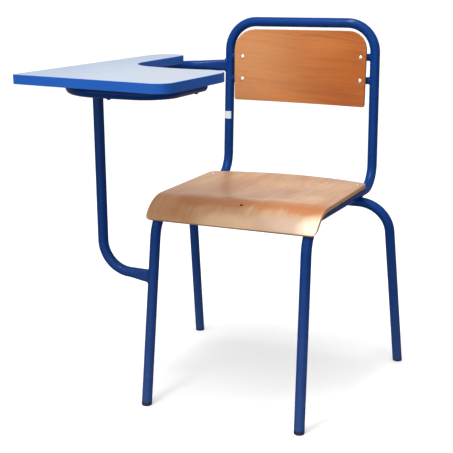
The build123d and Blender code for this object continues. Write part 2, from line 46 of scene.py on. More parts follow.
# ------------------------------------------------------------------ dimensions shared with the CAD
# Millimetres, counted from the chair's plane of symmetry, the front feet's line and the floor.
CENTRE_X, FEET_Y = 37.93, -132.09
TUBE_R, BAR_R = 11.0, 8.0
KNEE = (165.6, 51.4, 424.4)
HEEL = (181.9, 461.5, 419.6)
TOP = (177.1, 470.2, 789.1)
KNEE_R = 70.0
PLY = 9.0
PLIES = 7
SEAT_GAP = 0.4
SEAT_FRONT_W, SEAT_REAR_W = 187.0, 192.0
SEAT_CORNER_Y, SEAT_REAR_Y = 381.0, 420.0
LIP_TURN = 57.0
LIP_SIDE_W = 187.8
SEAT_DISH, DISH_HALF, DISH_PAST_REAR = 8.0, 158.0, 15.0
LIP_CORNER_R = 16.0
LIP_FROM_Z = 431.0
REAR_CORNER = (11.0, 12.0)
SEAT_RIM, BACK_RIM = 1.1, 1.0
BACK_R = 1400.0
BACK_W = (161.5, 160.0)
BACK_BOTTOM, BACK_TOP = (186.2, 181.8), (352.5, 352.3)
BACK_TOP_R, BACK_BOTTOM_R = (50.0, 43.0), 5.0
BACK_BARS = ((234.8, 241.8), (286.9, 294.2))
BACK_RIVET_X = (-141.2, 147.6)
RIVET_HEAD = (4.7, 1.9)
SHANK_R, SHANK_DEPTH = 2.3, 3.0
MANDREL_HOLE_R = 1.35
MANDREL = (      # radius and depth below the dome, from the bore's mouth to the broken stem
    (1.30, 0.10),
    (1.22, 0.75),
    (0.95, 0.80),
    (0.90, 0.45),
    (0.80, 0.30),
    (0.30, 0.22),
    (0.05, 0.20),
)
SCREW_HEAD = (4.4, 2.4)
SEAT_SCREW_HEAD = (3.6, 1.2)
SEAT_RIVET_Y = 359.0
FRONT_BAR_ANGLE = 18.5
FRONT_SCREW_X = 12.0
SUPPORT_Z = 686.0
POST_X = -287.5
SUPPORT_TURN_Y = 422.0
FRONT_FEET_X = 173.5
POST_FLAT_Z = 278.0
POST_FLAT = (31.0, 7.0)
SUPPORT_FLAT = (28.0, 13.0)
BAR_BEAD, TUBE_BEAD = 1.9, 2.3
BEAD_RISE, BEAD_SPREAD = 0.78, 1.15
WELD_START = 60.0
WELD_INSIDE = 0.3
BACK_WELD_START = 40.0
SCREWS = ((-155.0, -146.3), (-44.0, -6.0), (POST_X, 90.0), (POST_X, 220.0), (POST_X, 330.0))


def at(x, y, z):
    """A point in the row frame, in metres."""
    return Vector((CENTRE_X + x, FEET_Y + y, z)) * MM


# ------------------------------------------------------------------ material helpers
# Noise scales count waves per metre, bump distances are metres and colours are linear.
COLOUR_A, COLOUR_B, COLOUR_OUT = 6, 7, 2     # sockets of a Mix node set to colour


class Shader:
    """A material with short calls for the nodes it is made of."""

    def __init__(self, name):
        self.material = bpy.data.materials.new(name)
        self.material.use_nodes = True
        self.tree = self.material.node_tree
        self.bsdf = self.tree.nodes["Principled BSDF"]

    def node(self, kind, **values):
        made = self.tree.nodes.new(kind)
        for key, value in values.items():
            setattr(made, key, value)
        return made

    def link(self, source, target):
        self.tree.links.new(source, target)

    def feed(self, socket, value):
        if isinstance(value, bpy.types.NodeSocket):
            self.link(value, socket)
        elif isinstance(value, tuple) and len(value) == 3 and socket.type == "RGBA":
            socket.default_value = (*value, 1)
        else:
            socket.default_value = value

    def place(self, scale=(1, 1, 1), turn=(0, 0, 0), attribute=None):
        """Coordinates in metres, turned and then scaled: the object's own, or a sheet's flat ones."""
        if attribute:
            source = self.node("ShaderNodeAttribute", attribute_name=attribute).outputs["Vector"]
        else:
            source = self.node("ShaderNodeTexCoord").outputs["Object"]
        if any(turn):
            rotate = self.node("ShaderNodeMapping")
            self.link(source, rotate.inputs["Vector"])
            rotate.inputs["Rotation"].default_value = turn
            source = rotate.outputs["Vector"]
        return self.scaled(source, scale)

    def scaled(self, vector, scale):
        mapping = self.node("ShaderNodeMapping")
        self.link(vector, mapping.inputs["Vector"])
        mapping.inputs["Scale"].default_value = scale
        return mapping.outputs["Vector"]

    def vector(self, operation, a, b, output="Vector"):
        made = self.node("ShaderNodeVectorMath", operation=operation)
        self.link(a, made.inputs[0])
        if isinstance(b, tuple):
            made.inputs[1].default_value = b
        else:
            self.link(b, made.inputs[1])
        return made.outputs[output]

    def wander(self, vector, scale, amount):
        """The vector, pushed about by slow noise so that straight grain wavers."""
        made = self.node("ShaderNodeTexNoise")
        self.link(self.scaled(vector, scale), made.inputs["Vector"])
        made.inputs["Scale"].default_value = 1.0
        made.inputs["Detail"].default_value = 2.0
        push = self.vector("SUBTRACT", made.outputs["Color"], (0.5, 0.5, 0.5))
        return self.vector("ADD", vector, self.vector("MULTIPLY", push, amount))

    def noise(self, vector, scale=1.0, detail=4.0, roughness=0.5, distortion=0.0):
        made = self.node("ShaderNodeTexNoise")
        self.link(vector, made.inputs["Vector"])
        for key, value in (("Scale", scale), ("Detail", detail), ("Roughness", roughness)):
            made.inputs[key].default_value = value
        made.inputs["Distortion"].default_value = distortion
        return made.outputs["Fac"]

    def span(self, value, low, high, to_low=0.0, to_high=1.0, smooth=False):
        made = self.node("ShaderNodeMapRange", clamp=True)
        if smooth:
            made.interpolation_type = "SMOOTHSTEP"
        self.feed(made.inputs["Value"], value)
        limits = {"From Min": low, "From Max": high, "To Min": to_low, "To Max": to_high}
        for key, number in limits.items():
            made.inputs[key].default_value = number
        return made.outputs["Result"]

    def math(self, operation, a, b=0.0):
        made = self.node("ShaderNodeMath", operation=operation)
        self.feed(made.inputs[0], a)
        self.feed(made.inputs[1], b)
        return made.outputs["Value"]

    def mix(self, share, a, b):
        made = self.node("ShaderNodeMix", data_type="RGBA", blend_type="MIX")
        self.feed(made.inputs["Factor"], share)
        self.feed(made.inputs[COLOUR_A], a)
        self.feed(made.inputs[COLOUR_B], b)
        return made.outputs[COLOUR_OUT]

    def axis(self, vector, name):
        made = self.node("ShaderNodeSeparateXYZ")
        self.link(vector, made.inputs["Vector"])
        return made.outputs[name]

    def bump(self, height, strength, distance, under=None):
        made = self.node("ShaderNodeBump")
        self.feed(made.inputs["Height"], height)
        made.inputs["Strength"].default_value = strength
        made.inputs["Distance"].default_value = distance
        if under is not None:
            self.link(under, made.inputs["Normal"])
        return made.outputs["Normal"]

    def finish(self, colour, roughness, normal, **constants):
        self.feed(self.bsdf.inputs["Base Color"], colour)
        self.feed(self.bsdf.inputs["Roughness"], roughness)
        self.link(normal, self.bsdf.inputs["Normal"])
        for key, value in constants.items():
            self.bsdf.inputs[key.replace("_", " ")].default_value = value
        return self.material


def paint():
    """Gloss stove enamel: orange peel, slightly uneven cover, fine scuffs near the floor, and a
    lighter greyer blue near the floor, partly dust and partly painted floor-bounce light.
    """
    s = Shader("blue_tube_paint")
    here = s.place()
    broad = s.noise(here, 9.0, 3.0)
    cloud = s.noise(here, 70.0, 4.0, 0.6)
    colour = s.mix(s.span(broad, 0.3, 0.7), (0.0004, 0.027, 0.155), (0.0006, 0.032, 0.174))
    colour = s.mix(s.span(cloud, 0.40, 0.75, 0.0, 0.12), colour, (0.006, 0.055, 0.240))
    height = s.axis(here, "Z")
    low = s.span(height, 0.0, 0.36, 1.0, 0.0)
    scuff = s.span(s.noise(s.place((260, 260, 42)), 1.0, 5.0, 0.65), 0.66, 0.76)
    worn = s.math("MULTIPLY", scuff, s.math("MULTIPLY", low, 0.30))
    colour = s.mix(worn, colour, (0.085, 0.125, 0.235))
    # dust and painted light: the legs lighter and greyer towards the floor, partly dust, partly
    # painted light bounced up from the floor
    dust_and_bounce_light = s.math("MULTIPLY", low, s.span(cloud, 0.3, 0.8, 0.36, 0.48))
    colour = s.mix(dust_and_bounce_light, colour, (0.060, 0.110, 0.265))
    rough = s.span(cloud, 0.3, 0.7, 0.23, 0.29)
    rough = s.math("ADD", rough, s.math("MULTIPLY", worn, 0.35))
    peel = s.noise(here, 420.0, 2.0, 0.4)
    grain = s.noise(here, 2600.0, 2.0, 0.5)
    normal = s.bump(peel, 0.06, 0.0003)
    normal = s.bump(grain, 0.04, 0.0001, normal)
    normal = s.bump(worn, 0.25, 0.0002, normal)
    return s.finish(
        colour, rough, normal, Specular_IOR_Level=0.05, IOR=1.5, Coat_Weight=0.14, Coat_Roughness=0.13
    )


def veneer(name, dark, mid, pale, across, along, tilt, wave, contrast, figure_and_painted_light, rings, roughness, gloss):
    """Varnished veneer: pores and streaks along the grain, slow figure across it, fine sanding marks.

    across and along are the grain's waves per metre, wave is how far it wavers in metres. A lobe is a
    patch of tint: centre, half size, softness, share and tint; the calls mark which lobes are painted
    shade and which are painted highlight. A ring figure is its centre, half size, number of rings and
    share. Both are placed on the flat sheet, in metres.
    """
    s = Shader(name)
    sheet = s.place((1, 1, 1), (0, 0, 0), "sheet")
    grain = s.wander(s.place((1, 1, 1), (0, 0, tilt), "sheet"), (7.0, 5.0, 1.0), (wave, 0.0, 0.0))
    figure = s.noise(s.scaled(grain, (across * 0.055, along * 0.40, 1)), 1.0, 2.0, 0.45, 1.6)
    band = s.noise(s.scaled(grain, (across * 0.16, along * 0.55, 1)), 1.0, 3.0, 0.55, 0.7)
    streak = s.noise(s.scaled(grain, (across, along, 1)), 1.0, 5.0, 0.6, 0.8)
    fibre = s.noise(s.scaled(grain, (across * 3.6, along * 3.2, 1)), 1.0, 3.0, 0.6)
    pore = s.noise(s.scaled(grain, (across * 6.5, along * 9.0, 1)), 1.0, 2.0, 0.5)
    colour = s.mix(s.span(figure, 0.34, 0.66, smooth=True), dark, mid)
    colour = s.mix(s.span(band, 0.42, 0.74, 0.0, 0.70), colour, pale)
    colour = s.mix(s.span(streak, 0.45, 0.74, 0.0, contrast), colour, tuple(c * 0.60 for c in dark))
    colour = s.mix(s.span(fibre, 0.50, 0.75, 0.0, 0.26), colour, pale)
    # each lobe tints a patch; some are figure, others painted shade or painted highlight, as marked at
    # the calls
    for centre, size, soft, share, tint in figure_and_painted_light:
        offset = s.vector("DIVIDE", s.vector("SUBTRACT", sheet, (*centre, 0)), (*size, 1000))
        far = s.vector("LENGTH", offset, (0, 0, 0), "Value")
        reach = s.math("ADD", far, s.span(band, 0.2, 0.8, -0.19, 0.19))
        reach = s.math("ADD", reach, s.span(fibre, 0.2, 0.8, -0.04, 0.04))
        inside = s.span(reach, 1.0 - soft, 1.0 + soft * 0.5, share, 0.0, smooth=True)
        colour = s.mix(inside, colour, tint)
    for centre, size, count, share in rings:
        offset = s.vector("DIVIDE", s.vector("SUBTRACT", sheet, (*centre, 0)), (*size, 1000))
        far = s.vector("LENGTH", offset, (0, 0, 0), "Value")
        far = s.math("ADD", far, s.span(figure, 0.2, 0.8, -0.2, 0.2))
        line = s.span(s.math("SINE", s.math("MULTIPLY", far, 2 * pi * count)), 0.0, 1.0, smooth=True)
        fade = s.span(far, 0.45, 1.15, share, 0.0, smooth=True)
        colour = s.mix(s.math("MULTIPLY", line, fade), colour, tuple(c * 0.80 for c in dark))
    pores = s.span(pore, 0.62, 0.74)
    colour = s.mix(s.math("MULTIPLY", pores, 0.42), colour, tuple(c * 0.42 for c in dark))
    rough = s.span(streak, 0.3, 0.7, roughness, roughness + 0.10)
    rough = s.math("ADD", rough, s.math("MULTIPLY", pores, 0.12))
    normal = s.bump(streak, 0.14, 0.0004)
    normal = s.bump(fibre, 0.12, 0.00015, normal)
    normal = s.bump(s.math("SUBTRACT", 1.0, pores), 0.20, 0.0001, normal)
    return s.finish(
        colour, rough, normal, Specular_IOR_Level=gloss, IOR=1.5, Coat_Weight=0.22, Coat_Roughness=0.34
    )


def ply_edge(name, pale, dark):
    """Sawn and sanded plywood edge: seven plies, every other one end grain."""
    s = Shader(name)
    here = s.place((1, 1, 1), (0, 0, 0), "sheet")
    depth = s.axis(here, "Z")
    wobble = s.noise(s.place((60, 60, 0), (0, 0, 0), "sheet"), 1.0, 2.0)
    depth = s.math("ADD", depth, s.math("MULTIPLY", wobble, 0.0003))
    layer = s.math("MULTIPLY", depth, 2 * pi * PLIES / 2 / (PLY * MM))
    wave = s.span(s.math("SINE", layer), -0.35, 0.35, smooth=True)
    colour = s.mix(wave, dark, pale)
    fibre = s.noise(s.place((420, 420, 2600), (0, 0, 0), "sheet"), 1.0, 4.0, 0.6)
    colour = s.mix(s.span(fibre, 0.45, 0.75, 0.0, 0.45), colour, tuple(c * 0.5 for c in dark))
    normal = s.bump(fibre, 0.3, 0.0002)
    normal = s.bump(wave, 0.3, 0.0001, normal)
    return s.finish(colour, s.span(fibre, 0.3, 0.7, 0.5, 0.66), normal, Specular_IOR_Level=0.3)


def laminate(name, base, fleck, roughness):
    """Melamine sheet: faint flecks, a fine pressed texture, rubbed patches, and painted shade that
    makes the outer end darker and bluer.
    """
    s = Shader(name)
    here = s.place()
    cloud = s.noise(here, 7.0, 3.0)
    speck = s.noise(here, 900.0, 2.0, 0.6)
    rub = s.noise(s.place((22, 30, 30), (0, 0, 0.5)), 1.0, 5.0, 0.62, 0.6)
    colour = s.mix(s.span(cloud, 0.3, 0.7), base, tuple(c * 0.965 for c in base))
    # painted shade: the outer end darker and bluer, where less sheen falls
    painted_shade_outer_end = s.span(s.axis(here, "X"), -0.30, -0.08, 0.9, 0.0, smooth=True)
    colour = s.mix(painted_shade_outer_end, colour, (base[0] * 0.84, base[1] * 0.90, base[2] * 0.98))
    colour = s.mix(s.span(speck, 0.55, 0.70, 0.0, 0.35), colour, fleck)
    rough = s.span(rub, 0.35, 0.7, roughness, roughness + 0.12)
    press = s.noise(here, 1500.0, 3.0, 0.55)
    normal = s.bump(press, 0.12, 0.0001)
    return s.finish(colour, rough, normal, Specular_IOR_Level=0.4, IOR=1.5)


def edge_band():
    """Extruded edge strip: faint draw lines along it, small knocks, a little duller than paint."""
    s = Shader("blue_edge_band")
    here = s.place()
    cloud = s.noise(here, 14.0, 4.0, 0.6)
    draw = s.noise(s.place((8, 8, 2600)), 1.0, 3.0, 0.6)
    knock = s.span(s.noise(s.place((130, 130, 210)), 1.0, 4.0, 0.6), 0.67, 0.75)
    colour = s.mix(s.span(cloud, 0.3, 0.7), (0.009, 0.084, 0.385), (0.013, 0.100, 0.430))
    colour = s.mix(s.span(draw, 0.4, 0.7, 0.0, 0.30), colour, (0.014, 0.098, 0.410))
    colour = s.mix(s.math("MULTIPLY", knock, 0.35), colour, (0.05, 0.13, 0.42))
    normal = s.bump(draw, 0.10, 0.0001)
    normal = s.bump(knock, 0.25, 0.0002, normal)
    rough = s.span(cloud, 0.3, 0.7, 0.34, 0.44)
    return s.finish(colour, rough, normal, Specular_IOR_Level=0.14, IOR=1.5)


def plastic():
    """Moulded polyethylene: fine spark texture, scuffed where it meets the floor."""
    s = Shader("dark_plastic")
    here = s.place()
    spark = s.noise(here, 1800.0, 3.0, 0.6)
    cloud = s.noise(here, 60.0, 4.0, 0.6)
    low = s.span(s.axis(here, "Z"), 0.0, 0.004, 1.0, 0.0)
    colour = s.mix(s.span(cloud, 0.3, 0.7), (0.004, 0.009, 0.030), (0.008, 0.015, 0.045))
    scuff = s.math("MULTIPLY", low, s.span(cloud, 0.35, 0.65, 0.2, 0.9))
    colour = s.mix(scuff, colour, (0.06, 0.065, 0.08))
    normal = s.bump(spark, 0.25, 0.0001)
    rough = s.span(spark, 0.3, 0.7, 0.48, 0.62)
    return s.finish(colour, rough, normal, Specular_IOR_Level=0.4)


def metal(name, base, shade, roughness):
    """Plated steel or aluminium: turned marks and uneven brightness."""
    s = Shader(name)
    here = s.place()
    mark = s.noise(s.place((900, 900, 900)), 1.0, 3.0, 0.6)
    cloud = s.noise(here, 240.0, 4.0, 0.6)
    colour = s.mix(s.span(cloud, 0.35, 0.65), base, shade)
    normal = s.bump(mark, 0.15, 0.0001)
    rough = s.span(cloud, 0.3, 0.7, roughness, roughness + 0.14)
    return s.finish(colour, rough, normal, Metallic=1.0)


def paper():
    """Blank sticker: matt coated paper with faint fibres and a slightly grubby face."""
    s = Shader("white_label")
    here = s.place()
    fibre = s.noise(s.place((1200, 1200, 1900)), 1.0, 4.0, 0.6)
    smudge = s.noise(here, 90.0, 4.0, 0.6)
    colour = s.mix(s.span(smudge, 0.4, 0.75, 0.0, 0.5), (0.64, 0.69, 0.74), (0.57, 0.61, 0.66))
    colour = s.mix(s.span(fibre, 0.5, 0.8, 0.0, 0.3), colour, (0.62, 0.65, 0.68))
    normal = s.bump(fibre, 0.2, 0.0001)
    return s.finish(colour, s.span(fibre, 0.3, 0.7, 0.5, 0.62), normal, Specular_IOR_Level=0.35)


def particleboard():
    """Pressed chips with darker and paler flakes."""
    s = Shader("particleboard")
    chip = s.noise(s.place((420, 420, 700)), 1.0, 4.0, 0.7)
    flake = s.noise(s.place((900, 900, 1500)), 1.0, 2.0, 0.5)
    colour = s.mix(s.span(chip, 0.35, 0.65), (0.21, 0.13, 0.07), (0.46, 0.33, 0.20))
    colour = s.mix(s.span(flake, 0.6, 0.75, 0.0, 0.6), colour, (0.12, 0.07, 0.04))
    return s.finish(colour, s.span(chip, 0.3, 0.7, 0.7, 0.85), s.bump(chip, 0.5, 0.0004))


MATERIALS = {
    "blue_tube_paint": paint(),
    "seat_plywood": veneer(
        "seat_plywood",
        dark=(0.400, 0.184, 0.076),
        mid=(0.455, 0.247, 0.120),
        pale=(0.530, 0.330, 0.188),
        across=240.0,
        along=9.0,
        tilt=radians(3),
        wave=0.014,
        contrast=0.19,
        figure_and_painted_light=[
            # painted shade: the dish's left wall darker, as if turned away from the light
            ((-0.080, 0.130), (0.052, 0.120), 0.60, 0.80, (0.385, 0.172, 0.076)),
            ((0.075, 0.210), (0.110, 0.050), 0.60, 0.35, (0.650, 0.385, 0.215)),
            # this lobe and the next four: painted shade, a dark brown band across the knee where no
            # overhead light is reflected, rising at the left end
            ((-0.160, 0.000), (0.060, 0.050), 0.50, 0.60, (0.470, 0.205, 0.088)),
            ((-0.088, -0.016), (0.050, 0.034), 0.35, 0.90, (0.375, 0.138, 0.046)),
            ((-0.012, -0.012), (0.050, 0.032), 0.35, 0.90, (0.390, 0.144, 0.046)),
            ((0.066, -0.010), (0.055, 0.030), 0.35, 0.85, (0.420, 0.158, 0.050)),
            ((0.148, -0.012), (0.056, 0.036), 0.35, 0.90, (0.420, 0.148, 0.044)),
            # this lobe and the next two: painted highlight, the overhead light's reflection on the
            # front roll, brightest at the right end
            ((0.105, -0.078), (0.100, 0.034), 0.50, 0.90, (0.405, 0.262, 0.176)),
            ((0.186, -0.078), (0.040, 0.038), 0.60, 0.90, (0.740, 0.580, 0.430)),
            ((-0.005, -0.082), (0.070, 0.028), 0.60, 0.80, (0.640, 0.425, 0.262)),
            # this lobe and the next two: painted highlight along the dish's front edge
            ((0.020, 0.016), (0.046, 0.011), 0.80, 0.38, (0.680, 0.430, 0.270)),
            ((0.080, 0.034), (0.046, 0.016), 0.80, 0.38, (0.680, 0.430, 0.270)),
            ((0.130, 0.070), (0.034, 0.030), 0.80, 0.36, (0.680, 0.430, 0.270)),
        ],
        rings=[((0.085, 0.235), (0.060, 0.110), 2.6, 0.34)],
        roughness=0.33,
        gloss=0.40,
    ),
    "back_plywood": veneer(
        "back_plywood",
        dark=(0.295, 0.066, 0.005),
        mid=(0.410, 0.118, 0.015),
        pale=(0.495, 0.170, 0.036),
        across=170.0,
        along=4.5,
        tilt=radians(94.5),
        wave=0.022,
        contrast=1.0,
        figure_and_painted_light=[
            # painted highlight: a broad sheen over the left half of the back
            ((-0.135, 0.285), (0.190, 0.150), 1.00, 0.62, (0.590, 0.280, 0.112)),
            # painted shade: the right half of the back darker
            ((0.140, 0.285), (0.170, 0.130), 1.00, 0.65, (0.370, 0.086, 0.006)),
            ((0.060, 0.318), (0.075, 0.024), 0.70, 0.35, (0.560, 0.190, 0.040)),
        ],
        rings=[],
        roughness=0.36,
        gloss=0.24,
    ),
    "particleboard": particleboard(),
    "grey_laminate": laminate("grey_laminate", (0.352, 0.396, 0.470), (0.30, 0.34, 0.41), 0.36),
    "backing_laminate": laminate("backing_laminate", (0.40, 0.42, 0.46), (0.30, 0.32, 0.36), 0.45),
    "blue_edge_band": edge_band(),
    "dark_plastic": plastic(),
    "bright_rivet": metal("bright_rivet", (0.86, 0.85, 0.83), (0.62, 0.61, 0.60), 0.22),
    "dark_screw": metal("dark_screw", (0.050, 0.045, 0.042), (0.022, 0.020, 0.020), 0.36),
    "white_label": paper(),
}
EDGE = ply_edge("seat_ply_edge", (0.660, 0.370, 0.190), (0.400, 0.175, 0.075))
BACK_EDGE = ply_edge("back_ply_edge", (0.520, 0.250, 0.100), (0.270, 0.105, 0.036))


# ------------------------------------------------------------------ mesh helpers
def make_piece(name, verts, faces, materials, replaced, face_slots=None):
    """A smooth-shaded mesh that rides on the chair and stands for some CAD nodes."""
    mesh = bpy.data.meshes.new(name)
    mesh.from_pydata([tuple(v) for v in verts], [], faces)
    for material in materials:
        mesh.materials.append(material)
    if face_slots:
        mesh.polygons.foreach_set("material_index", face_slots)
    mesh.polygons.foreach_set("use_smooth", [True] * len(faces))
    mesh.validate()
    mesh.update()
    piece = bpy.data.objects.new(name, mesh)
    bpy.context.collection.objects.link(piece)
    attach(piece, BODY)
    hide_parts(*replaced)
    return piece


def corner_cut(distance, a, b):
    """How far a rounded corner draws the side in, at a distance from the end."""
    if distance >= b:
        return 0.0
    return a - a * sqrt(max(0.0, 1 - (1 - max(0.0, distance) / b) ** 2))


def bent_sheet(name, point, half_width, ends, widest, rows, columns, rim, materials, node):
    """A moulded plywood sheet with rounded rims: two faces and the sawn edge between them.

    point(x, s, depth) is in metres; half_width(left, share, s, depth) and ends(x) are in millimetres.
    The flat sheet's own coordinates go into the mesh as the attribute that the veneer is laid by.
    """
    arc, flat = 4, 7
    rings = []
    for step in range(arc + 1):
        angle = pi / 2 * step / arc
        rings.append((rim * (1 - cos(angle)), rim * (1 - sin(angle))))
    middle = [(rim + (PLY - 2 * rim) * step / flat, 0.0) for step in range(1, flat)]
    rings = rings + middle + [(PLY - depth, inset) for depth, inset in rings[::-1]]

    def grid_point(row, column, depth, inset):
        share = rows[row]
        u = 2 * column / columns - 1
        x = u * widest
        for _ in range(2):
            start, end = ends(x)
            s = start + inset + share * (end - start - 2 * inset)
            x = u * (half_width(u > 0, share, s, depth) - inset)
        start, end = ends(x)
        return x, start + inset + share * (end - start - 2 * inset)

    verts, sheet, faces, slots = [], [], [], []

    def add(row, column, depth, inset):
        x, s = grid_point(row, column, depth, inset)
        verts.append(point(x, s, depth))
        sheet.append((x * MM, s * MM, depth * MM))
        return len(verts) - 1

    last = len(rows) - 1
    border = [(0, c) for c in range(columns)]
    border += [(r, columns) for r in range(last)]
    border += [(last, c) for c in range(columns, 0, -1)]
    border += [(r, 0) for r in range(last, 0, -1)]

    def surface(depth, inset):
        return [[add(r, c, depth, inset) for c in range(columns + 1)] for r in range(last + 1)]

    top, bottom = surface(*rings[0]), surface(*rings[-1])
    for r in range(last):
        for c in range(columns):
            faces.append((top[r][c], top[r][c + 1], top[r + 1][c + 1], top[r + 1][c]))
            faces.append((bottom[r][c], bottom[r + 1][c], bottom[r + 1][c + 1], bottom[r][c + 1]))
            slots += [0, 0]
    loops = [[top[r][c] for r, c in border]]
    for depth, inset in rings[1:-1]:
        loops.append([add(r, c, depth, inset) for r, c in border])
    loops.append([bottom[r][c] for r, c in border])
    count = len(border)
    for k, (upper, lower) in enumerate(zip(loops, loops[1:])):
        for i in range(count):
            j = (i + 1) % count
            faces.append((upper[j], upper[i], lower[i], lower[j]))
            slots.append(0 if k < arc - 1 or k > len(loops) - arc - 1 else 1)
    piece = make_piece(name, verts, faces, materials, [node], slots)
    attribute = piece.data.attributes.new("sheet", "FLOAT_VECTOR", "POINT")
    attribute.data.foreach_set("vector", [value for p in sheet for value in p])


def spaced(first, dense, plain, last):
    """Shares from 0 to 1, closer together in the first and last zones, where corners are rounded."""
    start = [first * (1 - cos(pi / 2 * i / dense)) for i in range(dense)]
    end = [1 - last * (1 - cos(pi / 2 * i / dense)) for i in range(dense)][::-1]
    inner = [first + (1 - first - last) * i / plain for i in range(plain + 1)]
    return start + inner + end


# ------------------------------------------------------------------ seat
rail_slope = atan2(HEEL[2] - KNEE[2], HEEL[1] - KNEE[1])
rail_back = Vector((0, cos(rail_slope), sin(rail_slope)))
rail_up = Vector((0, -sin(rail_slope), cos(rail_slope)))
leg_down = Vector((0, -KNEE[1], -KNEE[2])).normalized()
to_centre = (leg_down + rail_back).normalized()
knee_centre = Vector((0, KNEE[1], KNEE[2])) + to_centre * (KNEE_R / sin(leg_down.angle(rail_back) / 2))
nose_reach = KNEE_R + TUBE_R + SEAT_GAP + PLY
lip_z = knee_centre.z + (nose_reach - PLY) * cos(radians(LIP_TURN))
flat_length = SEAT_REAR_Y + DISH_PAST_REAR - knee_centre.y
REAR_R = (SEAT_REAR_W**2 + (SEAT_REAR_Y - SEAT_CORNER_Y) ** 2) / (2 * (SEAT_REAR_Y - SEAT_CORNER_Y))
lip_start = -nose_reach * (radians(LIP_TURN) + rail_slope)


def knee_point(x, turn, reach):
    """Point at reach from the knee bend's centre, turned forward from straight up, in metres."""
    y = knee_centre.y - reach * sin(radians(turn))
    return at(x, y, knee_centre.z + reach * cos(radians(turn)))


def seat_local(x, s, depth):
    """(y, z) of the seat at x, at a run s behind the knee bend, below its top face."""
    if s < 0:
        turn = -rail_slope - s / nose_reach
        reach = nose_reach - depth
        return knee_centre.y - reach * sin(turn), knee_centre.z + reach * cos(turn)
    hollow = SEAT_DISH * sin(pi * s / flat_length) ** 2 * max(0.0, 1 - (x / DISH_HALF) ** 2) ** 2
    spot = knee_centre + rail_up * (nose_reach - depth - hollow) + rail_back * s
    return spot.y, spot.z


def seat_point(x, s, depth):
    """The same point in the row frame, in metres."""
    y, z = seat_local(x, s, depth)
    return at(x, y, z)


def seat_ends(x):
    """Where the sheet starts under the lip and ends at its curved rear edge."""
    rear_y = SEAT_REAR_Y - REAR_R + sqrt(REAR_R**2 - x**2)
    return lip_start, (rear_y - knee_centre.y) / rail_back.y


def seat_half_width(_left, share, s, depth):
    """Half width along the seat, drawn in at the lip's and the rear's rounded corners."""
    y, z = seat_local(0, s, depth)
    if share > 0.5:
        y, z = seat_local(DISH_HALF, s, depth)
    width = SEAT_FRONT_W + (SEAT_REAR_W - SEAT_FRONT_W) * y / SEAT_CORNER_Y
    if z < LIP_FROM_Z:
        width = min(width, LIP_SIDE_W)
    width -= corner_cut(z - lip_z, LIP_CORNER_R, LIP_CORNER_R)
    start, end = seat_ends(SEAT_REAR_W)
    return width - corner_cut((1 - share) * (end - start), *REAR_CORNER)


bent_sheet(
    "seat_veneered_sheet",
    point=seat_point,
    half_width=seat_half_width,
    ends=seat_ends,
    widest=SEAT_REAR_W,
    rows=spaced(first=0.045, dense=12, plain=120, last=0.034),
    columns=108,
    rim=SEAT_RIM,
    materials=[MATERIALS["seat_plywood"], EDGE],
    node="seat_panel",
)

# ------------------------------------------------------------------ back panel
back_up = Vector((0, TOP[1] - HEEL[1], TOP[2] - HEEL[2]))
upright_length = back_up.length
back_up.normalize()
back_out = Vector((0, back_up.z, -back_up.y))
BACK_SKIN = SEAT_GAP / 2


def upright_x(height):
    """How far an upright stands from the middle, at a height along it."""
    return HEEL[0] + (TOP[0] - HEEL[0]) * height / upright_length


back_centre = -sqrt(BACK_R**2 - upright_x(BACK_BARS[0][1]) ** 2)
face_reach = BACK_R - BAR_R - BACK_SKIN - PLY


def back_at(x, height, reach):
    """Point of the back at x, at a height along the uprights, in metres."""
    turn = asin(x / reach)
    out = back_centre + reach * cos(turn)
    spot = Vector((0, HEEL[1], HEEL[2])) + back_up * height + back_out * out
    return at(x, spot.y, spot.z)


def back_normal(x):
    """The way the back's front face looks, at x."""
    turn = x / BACK_R
    return Vector((-sin(turn), 0, 0)) - back_out * cos(turn)


def back_half_width(left, share, height, _depth):
    """Half width along the back, drawn in at its rounded corners."""
    span = BACK_TOP[left] - BACK_BOTTOM[left]
    width = BACK_W[1] + (BACK_W[0] - BACK_W[1]) * (height - BACK_BOTTOM[left]) / span
    width -= corner_cut(share * span, BACK_BOTTOM_R, BACK_BOTTOM_R)
    return width - corner_cut((1 - share) * span, BACK_TOP_R[left], BACK_TOP_R[left])


def back_ends(x):
    """The back's lower and upper edge at x, as heights along the uprights."""
    share = (x / BACK_W[0] + 1) / 2
    return [right + (left - right) * share for right, left in (BACK_BOTTOM, BACK_TOP)]


bent_sheet(
    "back_veneered_sheet",
    point=lambda x, s, depth: back_at(x, s, face_reach + depth),
    half_width=back_half_width,
    ends=back_ends,
    widest=BACK_W[0],
    rows=spaced(first=0.03, dense=6, plain=44, last=0.30),
    columns=96,
    rim=BACK_RIM,
    materials=[MATERIALS["back_plywood"], BACK_EDGE],
    node="back_panel",
)


# ------------------------------------------------------------------ rivets and screws
def basis(out):
    """Two directions square to out."""
    side = out.cross(Vector((0.2, 0.3, 1.0))).normalized()
    return side, out.cross(side).normalized()


def lathe(name, centre, out, profile, material, node, recess=None, around=48):
    """A turned piece: (radius, height) pairs in millimetres, with an optional driven recess."""
    side, other = basis(out)
    verts, faces = [], []
    for radius, height in profile:
        for k in range(around):
            angle = 2 * pi * k / around
            x, y = radius * cos(angle), radius * sin(angle)
            drop = recess(x, y) if recess and height > 0 else 0.0
            verts.append(centre + (side * x + other * y + out * (height - drop)) * MM)
    for ring in range(len(profile) - 1):
        for k in range(around):
            j = (k + 1) % around
            a, b = ring * around, (ring + 1) * around
            faces.append((a + k, a + j, b + j, b + k))
    faces.append(tuple(range((len(profile) - 1) * around, len(profile) * around)))
    faces.append(tuple(range(around))[::-1])
    return make_piece(name, verts, faces, [MATERIALS[material]], [node])


